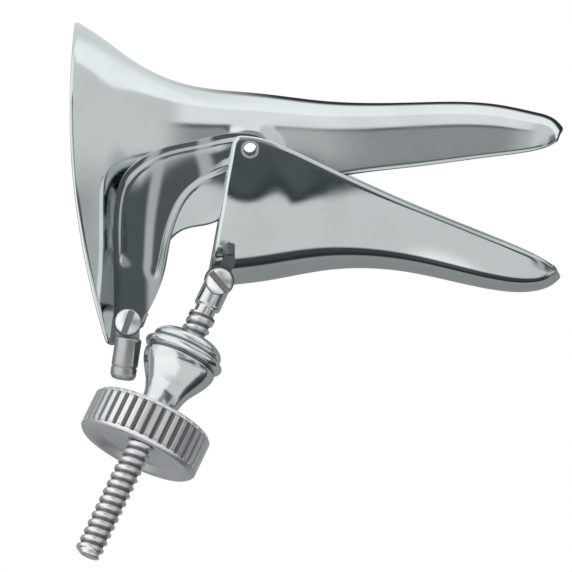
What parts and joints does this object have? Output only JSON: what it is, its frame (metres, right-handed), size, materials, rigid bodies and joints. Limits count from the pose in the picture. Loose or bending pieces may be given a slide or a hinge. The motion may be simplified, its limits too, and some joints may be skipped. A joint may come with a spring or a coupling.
{
  "type": "bivalve speculum",
  "caption": "Two-bladed metal speculum with a flared collar, side hinge, cranked lever and a screw spindle with a knurled hand nut that opens and closes the blades.",
  "frame": {"origin": "on the hinge axis, midway between the two side walls", "axes": "+X towards the blade tips, +Y from the lower blade towards the upper blade, +Z along the hinge axis towards the screw side; the instrument lies on its side"},
  "size_m": [0.1116, 0.1197, 0.0747],
  "materials": {
    "polished_sheet": "mirror polished formed sheet",
    "polished_fittings": "polished turned fittings",
    "threaded_steel": "bright cut thread",
    "knurled_steel": "satin fluted rim, polished faces"
  },
  "bodies": {
    "upper": {"upper_blade": "polished_sheet", "lever": "polished_sheet", "near_hinge_rivet": "polished_fittings", "far_hinge_rivet": "polished_fittings", "far_hinge_washer": "polished_fittings", "post_screw": "polished_fittings", "swivel_post": "polished_fittings", "swivel_pin": "polished_fittings"},
    "lower": {"lower_blade": "polished_sheet", "blade_lug": "polished_fittings"},
    "swivel": {"swivel_nut_seat": "polished_fittings"},
    "screw": {"spindle": "threaded_steel", "fork_screw": "polished_fittings"},
    "nut": {"knurled_nut": "knurled_steel"}
  },
  "joints": [
    {"name": "blade_hinge", "type": "hinge", "parent": "upper", "child": "lower", "pos_m": [0, 0, 0], "axis": [0, 0, 1], "range_deg": [-5.1, 23.1]},
    {"name": "swivel_turn", "type": "hinge", "parent": "upper", "child": "swivel", "pos_m": [-0.0279, -0.0465, 0.0266], "axis": [-0.3872, 0, 0.922], "range_deg": [-22.9, 5.1]},
    {"name": "spindle_slide", "type": "slide", "parent": "swivel", "child": "screw", "axis": [0.42, 0.8592, -0.2924], "range_m": [-0.0021, 0.00957]},
    {"name": "nut_spin", "type": "hinge", "parent": "swivel", "child": "nut", "pos_m": [-0.007, -0.0295, 0.0215], "axis": [-0.42, -0.8592, 0.2924], "range_deg": [-372.8, 1715.1]}
  ],
  "couplings": [
    {"joint": "blade_hinge", "follows": "nut_spin", "ratio": 0.01341},
    {"joint": "swivel_turn", "follows": "nut_spin", "ratio": -0.013276},
    {"joint": "spindle_slide", "follows": "nut_spin", "m_per_rad": 0.00031831}
  ]
}
